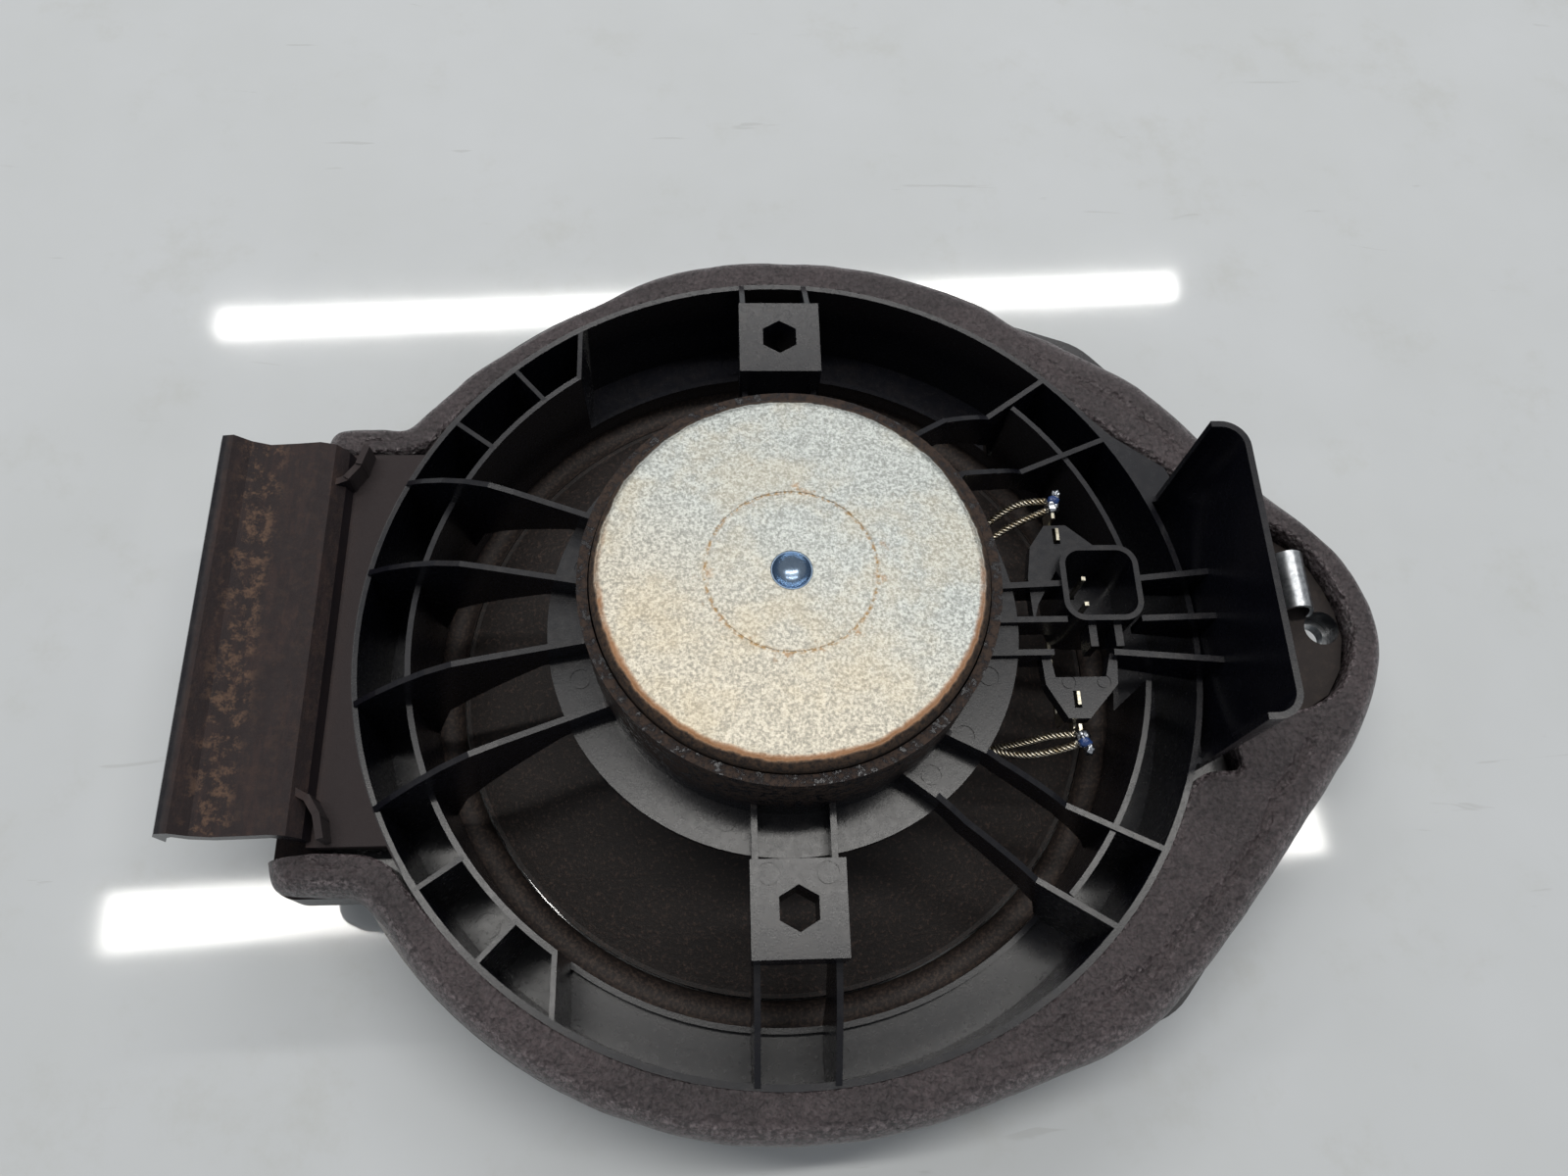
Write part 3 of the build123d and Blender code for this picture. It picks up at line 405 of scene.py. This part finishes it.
NODE_LOOKS = {
    "basket": "basket", "screw_clip": "clip", "terminal_upper": "brass", "terminal_lower": "brass",
    "shield_can": "can", "pole_yoke": "steel", "ferrite_magnet": "ferrite", "front_pole_plate": "steel",
    "tweeter_post": "rivet", "post_nut": "steel", "front_gasket_ring": "ring", "cone": "cone",
    "cone_eyelets": "brass", "voice_coil_former": "former", "voice_coil_winding": "copper",
    "tweeter_housing": "tweeter", "tweeter_frame": "tweeter", "tweeter_yoke": "steel",
    "tweeter_magnet": "steel", "tweeter_pole_plate": "steel", "tweeter_dome": "dome",
    "tweeter_voice_coil": "copper", "tweeter_grille": "tweeter", "tweeter_capacitor": "capacitor",
    "foam_gasket": "foam", "surround": "rubber", "spider": "spider", "tweeter_surround": "dome",
    "solder_upper": "solder", "solder_lower": "solder",
    "coil_lead_upper": "braid", "coil_lead_lower": "braid",
    "tweeter_lead_upper": "braid", "tweeter_lead_lower": "braid", "front_lead_upper": "braid",
    "front_lead_lower": "braid",
}


def dress_nodes():
    for node, look in NODE_LOOKS.items():
        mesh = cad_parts[node].data
        mesh.materials.clear()
        mesh.materials.append(LOOKS[look])


# ---- mesh helpers --------------------------------------------------------------------------------
def mesh_piece(name, points, faces, look, smooth=True):
    """Object from points in millimetres."""
    mesh = bpy.data.meshes.new(name)
    mesh.from_pydata([tuple(c * MM for c in p) for p in points], [], faces)
    mesh.materials.append(LOOKS[look])
    mesh.validate()
    mesh.shade_smooth() if smooth else mesh.shade_flat()
    piece = bpy.data.objects.new(name, mesh)
    bpy.context.scene.collection.objects.link(piece)
    return piece


def polar(radius, azimuth):
    a = math.radians(azimuth)
    return (radius * math.cos(a), radius * math.sin(a))


def turned_piece(name, profile, look, segments=192):
    """Closed solid of revolution from a closed loop of (radius, height)."""
    count = len(profile)
    points, faces = [], []
    for k in range(segments):
        a = 2 * math.pi * k / segments
        points += [(r * math.cos(a), r * math.sin(a), z) for r, z in profile]
    for k in range(segments):
        a, b = k * count, ((k + 1) % segments) * count
        for i in range(count):
            j = (i + 1) % count
            faces.append((a + i, b + i, b + j, a + j))
    return mesh_piece(name, points, faces, look)


def radial_blend(piece):
    """Bakes the piece's placement into its mesh."""
    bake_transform(piece)


def route_line(route, name):
    """Points along the smooth line of a lead, read from its NURBS spline."""
    curve = bpy.data.curves.new(name, "CURVE")
    curve.dimensions = "3D"
    curve.resolution_u = 24
    spline = curve.splines.new("NURBS")
    spline.points.add(len(route) - 1)
    for point, place in zip(spline.points, route):
        point.co = (*[c * MM for c in place], 1.0)
    spline.order_u = 3
    spline.use_endpoint_u = True
    holder = bpy.data.objects.new(name, curve)
    bpy.context.scene.collection.objects.link(holder)
    mesh = bpy.data.meshes.new_from_object(holder)
    line = [v.co / MM for v in mesh.vertices]
    bpy.data.objects.remove(holder)
    bpy.data.meshes.remove(mesh)
    return line


def strand_tubes(line, radius, strands, pitch, thick, sides=6):
    """Points and faces of strands twisted about a line."""
    points, faces = [], []
    travelled = [0.0]
    for a, b in zip(line, line[1:]):
        travelled.append(travelled[-1] + (b - a).length)
    last_point = len(line) - 1
    tangents = [(line[min(i + 1, last_point)] - line[max(i - 1, 0)]).normalized() for i in range(len(line))]
    side = tangents[0].cross(Vector((0, 0, 1))).normalized()
    frames = []
    for tangent in tangents:
        side = (side - tangent * side.dot(tangent)).normalized()
        frames.append((side.copy(), tangent.cross(side)))
    for s in range(strands):
        first = len(points)
        for centre, (u, v), run in zip(line, frames, travelled):
            turn = 2 * math.pi * (run / pitch + s / strands)
            outwards = u * math.cos(turn) + v * math.sin(turn)
            across = v * math.cos(turn) - u * math.sin(turn)
            heart = centre + outwards * (radius - thick)
            for k in range(sides):
                a = 2 * math.pi * k / sides
                points.append(heart + outwards * (thick * math.cos(a)) + across * (thick * math.sin(a)))
        for i in range(len(line) - 1):
            for k in range(sides):
                a, b = first + i * sides + k, first + i * sides + (k + 1) % sides
                faces.append((a, b, b + sides, a + sides))
        faces.append([first + k for k in reversed(range(sides))])
        last = first + (len(line) - 1) * sides
        faces.append([last + k for k in range(sides)])
    return points, faces


# ---- leads ------------------------------------------------------------------------------------------
LEADS = {
    "coil_lead_upper": [(53.9, 23.8, 36.8), (48.6, 22.6, 34.6), (42.4, 19.8, 31.0), (35.0, 16.4, 26.2),
                        (27.6, 13.2, 19.8)],
    "coil_lead_lower": [(53.9, -24.9, 37.0), (49.3, -25.8, 34.4), (43.2, -25.2, 30.6), (36.2, -21.6, 26.0),
                        (28.8, -16.4, 18.9)],
    "tweeter_lead_upper": [(53.9, 25.8, 37.1), (49.6, 26.9, 35.2), (45.4, 26.0, 30.4), (40.6, 23.8, 24.4),
                           (36.4, 21.1, 16.6)],
    "tweeter_lead_lower": [(53.9, -22.8, 36.7), (50.4, -22.2, 34.4), (46.0, -22.5, 29.8),
                           (41.0, -22.1, 24.2), (36.4, -21.1, 16.6)],
    "front_lead_upper": [(16.9, 8.0, 10.2), (21.0, 12.4, 8.4), (26.0, 16.0, 7.2), (31.0, 18.6, 8.2),
                         (35.7, 20.6, 10.4)],
    "front_lead_lower": [(16.9, -8.0, 10.2), (21.0, -12.4, 8.4), (26.0, -16.0, 7.2), (31.0, -18.6, 8.2),
                         (35.7, -20.6, 10.4)],
}


def make_leads():
    """Twisted tinsel leads that run between the frame and the cone; each route starts at the frame."""
    for name, route in LEADS.items():
        points, faces = strand_tubes(route_line(route, "route"), 0.80, 4, 3.4, 0.36)
        piece = mesh_piece(name + "_braid", points, faces, "braid")
        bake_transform(piece)
        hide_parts(name)


def lump(name, centre, size, look, seed, rough=0.14):
    """Small irregular bead, denser than a plain ball and pulled out along its size."""
    rings, around = 14, 20
    points = [(centre[0], centre[1], centre[2] + size[2])]
    for i in range(1, rings):
        polar_a = math.pi * i / rings
        for k in range(around):
            a = 2 * math.pi * k / around
            flat = math.sin(polar_a)
            d = Vector((flat * math.cos(a), flat * math.sin(a), math.cos(polar_a)))
            swell = 1.0 + rough * noise.noise(d * 2.1 + Vector((seed, 0, 0)))
            points.append(tuple(c + v * s * swell for c, v, s in zip(centre, d, size)))
    points.append((centre[0], centre[1], centre[2] - size[2]))
    faces = [(0, 1 + k, 1 + (k + 1) % around) for k in range(around)]
    for i in range(rings - 2):
        for k in range(around):
            a, b = 1 + i * around + k, 1 + i * around + (k + 1) % around
            faces.append((a, a + around, b + around, b))
    last = len(points) - 1
    base = 1 + (rings - 2) * around
    faces += [(last, base + (k + 1) % around, base + k) for k in range(around)]
    return mesh_piece(name, points, faces, look)


def make_solder():
    """Soldered joint at each terminal, with a touch of blue varnish, and the glue dab on the cone."""
    for side, name in ((1, "upper"), (-1, "lower")):
        low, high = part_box("solder_" + name)
        centre = [(a + b) / 2 / MM for a, b in zip(low, high)]
        x, y, z = centre
        bead = lump("solder_bead_" + name, (x - 0.3, y - side * 0.9, z - 0.2), (1.45, 1.7, 1.5),
                    "solder", 1.0 + side, 0.3)
        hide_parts("solder_" + name)
        tip = lump("solder_tip_" + name, (x + 0.5, y + side * 1.3, z + 0.6), (1.0, 1.2, 1.1),
                   "solder", 5.0 + side, 0.3)
        cap = lump("varnish_" + name, (x - 0.1, y + side * 0.1, z + 0.9), (1.25, 1.0, 0.85),
                   "varnish", 9.0 + side, 0.25)
        for piece in (bead, tip, cap):
            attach(piece, FRAME_BODY)
        x, y, z = LEADS["coil_lead_" + name][-1]
        dab = lump("lead_glue_" + name, (x, y, z - 1.0), (3.0, 2.6, 1.7), "glue", 3.0 + side, 0.2)
        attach(dab, CONE_BODY)


# ---- suspension --------------------------------------------------------------------------------------
def make_surround():
    """Half-roll rubber edge that bulges to the front, with its lip under the ledge."""
    z_bond, thick = 5.8, 0.5
    mid, half, depth = 69.75, 3.0, 3.0
    steps = 28
    roll = []
    for i in range(steps + 1):
        a = math.pi * i / steps
        roll.append((mid + half * math.cos(a), z_bond - thick - depth * math.sin(a)))
    under = [(80.0, z_bond - thick)] + roll
    over = [(r, z + thick) for r, z in reversed(under)]
    piece = turned_piece("surround_roll", under + over, "rubber", 256)
    radial_blend(piece)
    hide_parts("surround")


def make_spider():
    """Corrugated cloth disc between the annular plate and the coil."""
    low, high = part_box("spider")
    top, r_out = high.z / MM, high.x / MM
    thick, r_fold, r_in, drop = 0.4, 37.0, 13.6, 3.4
    steps = 110
    line = [(r_out, top - thick)]
    for i in range(steps + 1):
        t = i / steps
        fade = min(1.0, t * 7, (1 - t) * 7)
        r = r_fold - (r_fold - r_in) * t
        fall = drop * min(1.0, t * 9)
        line.append((r, top - thick - fall + 0.9 * fade * math.sin(10 * math.pi * t)))
    piece = turned_piece("spider_cloth", line + [(r, z + thick) for r, z in reversed(line)], "spider", 160)
    radial_blend(piece)
    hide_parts("spider")


def make_tweeter_surround():
    """Small soft roll round the tweeter's dome."""
    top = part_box("tweeter_surround")[1].z / MM
    steps = 16
    line = [(12.8, top - 0.3)]
    for i in range(steps + 1):
        a = math.pi * i / steps
        line.append((10.3 + 1.5 * math.cos(a), top - 0.3 - 0.7 * math.sin(a)))
    line.append((8.7, top - 0.3))
    piece = turned_piece("tweeter_roll", line + [(r, z + 0.2) for r, z in reversed(line)], "dome", 128)
    radial_blend(piece)
    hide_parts("tweeter_surround")


# ---- foam seal ----------------------------------------------------------------------------------------
WALL_EDGE = 82.6          # the seal's inner edge, resting on the rear edge of the basket's wall


def wall_run(stations):
    """Stations whose inner edge follows the round wall, from (azimuth, outer radius)."""
    return [(polar(WALL_EDGE, a), polar(r, a)) for a, r in stations]


def foam_stations():
    """Inner and outer edge of the seal, paired, from the upper ear round the nose to the lower ear."""
    upper_ear = [((-84.5, 41.0), (-94.6, 42.2)), ((-80.0, 41.2), (-92.6, 47.2)),
                 ((-75.5, 41.6), (-85.0, 48.0)), ((-71.8, 43.6), (-78.6, 47.6)),
                 ((-68.6, 47.8), (-73.4, 52.6))]
    arc = wall_run([(137, 89.6), (127, 88.2), (118, 88.4), (108, 90.6), (98, 91.6), (88, 91.8), (78, 92.4),
                    (70, 92.8)])
    corner = [(polar(WALL_EDGE, 60), (46.8, 80.7)), (polar(WALL_EDGE, 52), (55.0, 74.6)),
              (polar(WALL_EDGE, 45), (64.0, 69.6)), ((66.2, 50.6), (73.0, 64.6)),
              ((74.0, 44.0), (80.8, 59.0)), ((81.0, 38.6), (87.8, 51.4)), ((86.4, 33.4), (93.8, 44.2)),
              ((89.6, 28.0), (99.8, 37.2))]
    nose = [((95.6, 25.2), (106.0, 30.0)), ((103.2, 22.8), (112.0, 23.4)), ((108.4, 18.9), (117.2, 16.8)),
            ((111.2, 15.4), (119.4, 12.4)), ((113.4, 10.6), (120.8, 8.0)), ((115.0, 5.2), (121.9, 3.4)),
            ((115.4, -0.8), (121.8, -3.0)), ((113.6, -7.4), (119.6, -10.8)),
            ((110.0, -12.8), (115.8, -18.2)), ((103.8, -16.4), (110.6, -26.0)),
            ((96.6, -18.4), (104.4, -33.0)), ((87.6, -22.6), (97.4, -41.2)),
            ((87.0, -28.6), (90.0, -49.6)), ((78.4, -30.4), (82.4, -57.8))]
    lower = [(polar(WALL_EDGE, -31), (76.4, -64.0)), (polar(WALL_EDGE, -42), (66.8, -72.6)),
             (polar(WALL_EDGE, -51), (57.6, -77.8)), (polar(WALL_EDGE, -60), (47.4, -81.6))]
    arc_low = wall_run([(-68, 92.6), (-77, 92.0), (-87, 91.7), (-97, 91.7), (-107, 91.6), (-117, 91.4),
                        (-127, 91.2), (-137, 91.0)])
    lower_ear = [((-68.6, -47.8), (-73.6, -53.4)), ((-71.8, -43.8), (-79.0, -48.6)),
                 ((-75.5, -41.8), (-85.2, -48.0)), ((-80.0, -41.2), (-92.6, -47.0)),
                 ((-84.5, -41.0), (-94.8, -42.0))]
    return upper_ear + arc + corner + nose + lower + arc_low + lower_ear


def smooth_path(points, per_span):
    """Catmull-Rom line through the points."""
    made = []
    for i in range(len(points) - 1):
        p0, p1 = points[max(i - 1, 0)], points[i]
        p2, p3 = points[i + 1], points[min(i + 2, len(points) - 1)]
        for k in range(per_span):
            t = k / per_span
            made.append(0.5 * (2 * p1 + (p2 - p0) * t + (2 * p0 - 5 * p1 + 4 * p2 - p3) * t ** 2
                               + (3 * p1 - p0 - 3 * p2 + p3) * t ** 3))
    made.append(points[-1])
    return made


FOAM_ROUND = 8.0         # how far in from the outer edge the foam is rounded over
FOAM_DROP = 6.0


def foam_height(from_outer, width, place):
    """Rear face of the foam at a distance in from its outer edge."""
    reach = min(FOAM_ROUND, 0.62 * width)
    top = FOAM_Z1 - 0.15
    if from_outer < reach:
        t = 1.0 - from_outer / reach
        top -= FOAM_DROP * (1.0 - math.sqrt(max(0.0, 1.0 - t ** 2.4)))
    crease = math.exp(-((from_outer - reach - 0.6) / 0.9) ** 2)
    wide = min(max((width - 10.0) / 6.0, 0.0), 1.0)
    top -= 1.1 * crease * wide
    inner = width - from_outer
    if inner < 1.0:
        top -= 0.5 * (1.0 - inner) ** 2
    slow = noise.noise(Vector((place[0] * 0.07, place[1] * 0.07, 0.3)))
    quick = noise.noise(Vector((place[0] * 0.33, place[1] * 0.33, 2.0)))
    return top + 0.22 * slow + 0.12 * quick


def make_foam():
    stations = foam_stations()
    inner = smooth_path([Vector(a) for a, _ in stations], 12)
    outer = smooth_path([Vector(b) for _, b in stations], 12)
    across = 26
    points, faces = [], []
    for p, q in zip(inner, outer):
        width = (q - p).length
        along = (q - p) / width
        wave = 0.35 * noise.noise(Vector((q.x * 0.12, q.y * 0.12, 5.0)))
        q = q + along * wave
        width += wave
        for i in range(across + 1):
            t = i / across
            s = 1.0 - (1.0 - t) ** 1.7
            place = p + along * (width * s)
            points.append((place.x, place.y, foam_height(width * (1.0 - s), width, place)))
        points.append((q.x - along.x * 0.1, q.y - along.y * 0.1, FOAM_Z0 + 0.8))
        points.append((q.x - along.x * 0.7, q.y - along.y * 0.7, FOAM_Z0 + 0.05))
        points.append((p.x, p.y, FOAM_Z0 + 0.05))
    loop = across + 4
    rows = len(inner)
    for k in range(rows - 1):
        a, b = k * loop, (k + 1) * loop
        for i in range(loop):
            j = (i + 1) % loop
            faces.append((a + i, a + j, b + j, b + i))
    faces.append(list(range(loop))[::-1])
    faces.append([(rows - 1) * loop + i for i in range(loop)])
    piece = mesh_piece("foam_seal", points, faces, "foam")
    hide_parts("foam_gasket")
    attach(piece, FRAME_BODY)


# ---- stage ---------------------------------------------------------------------------------------------
def floor_look():
    look = Look("floor_board", rough=0.08, specular=0.5)
    tone = look.mix(look.noise(60.0, 4.0, 0.6), srgb(198, 201, 201), srgb(210, 213, 216))
    grime = look.math("MULTIPLY", look.ramp(look.noise(34.0, 7.0, 0.7), 0.52, 0.72), 0.28)
    tone = look.mix(grime, tone, srgb(184, 184, 176))
    hairs = look.ramp(look.noise(5.0, 3.0, 0.5, look.stretch((0.12, 1.0, 1.0)), 1.2), 0.70, 0.74)
    tone = look.mix(look.math("MULTIPLY", hairs, 0.25), tone, srgb(160, 160, 156))
    dull = look.math("MULTIPLY", look.noise(22.0, 5.0, 0.7), 0.05)
    return look.finish(tone, look.math("ADD", 0.035, dull))


def make_floor():
    mesh = bpy.data.meshes.new("floor")
    half, level = 1.6, -0.0002
    corners = [(-half, -half, level), (half, -half, level), (half, half, level), (-half, half, level)]
    mesh.from_pydata(corners, [], [(0, 1, 2, 3)])
    mesh.materials.append(floor_look())
    floor = bpy.data.objects.new("floor", mesh)
    bpy.context.scene.collection.objects.link(floor)


def strip_light(name, place, length, width, turn, power, colour):
    data = bpy.data.lights.new(name, "AREA")
    data.shape = "RECTANGLE"
    data.size, data.size_y = length, width
    data.energy = power
    data.color = colour
    lamp = bpy.data.objects.new(name, data)
    lamp.location = place
    lamp.rotation_euler = (0, 0, turn)
    bpy.context.scene.collection.objects.link(lamp)


def make_lights():
    """Two long ceiling tubes and a soft sky."""
    strip_light("far_tube", (-0.02, 1.20, 1.50), 1.71, 0.055, math.radians(3.0), 10.0, (1.0, 0.985, 0.96))
    strip_light("near_tube", (0.01, 0.20, 1.50), 1.78, 0.08, math.radians(3.2), 12.0, (1.0, 0.98, 0.94))
    strip_light("soft_panel", (0.1, 0.62, 1.62), 2.2, 0.70, 0.0, 1.4, (0.96, 0.98, 1.0))
    world = bpy.data.worlds.new("studio")
    world.use_nodes = True
    world.node_tree.nodes["Background"].inputs[0].default_value = (0.93, 0.96, 1.0, 1.0)
    world.node_tree.nodes["Background"].inputs[1].default_value = 0.33
    bpy.context.scene.world = world


def make_camera():
    """Hand-held view from above and in front of the near edge, a little to the left."""
    right = Vector((0.99837, -0.03103, 0.04785))
    up = Vector((0.01015, 0.92230, 0.38634))
    right.normalize()
    back = right.cross(up).normalized()
    up = back.cross(right)
    data = bpy.data.cameras.new("camera")
    data.lens, data.sensor_width = 27.0, 36.0
    data.clip_start, data.clip_end = 0.01, 20.0
    camera = bpy.data.objects.new("camera", data)
    turn = Matrix((right, up, back)).transposed().to_4x4()
    camera.matrix_world = Matrix.Translation(Vector((-12.75, -80.90, 248.11)) * MM) @ turn
    bpy.context.scene.collection.objects.link(camera)
    bpy.context.scene.camera = camera


make_camera()
dress_nodes()
make_leads()
make_solder()
make_surround()
make_spider()
make_tweeter_surround()
make_foam()
make_floor()
make_lights()
bpy.context.scene.view_settings.view_transform = "Standard"
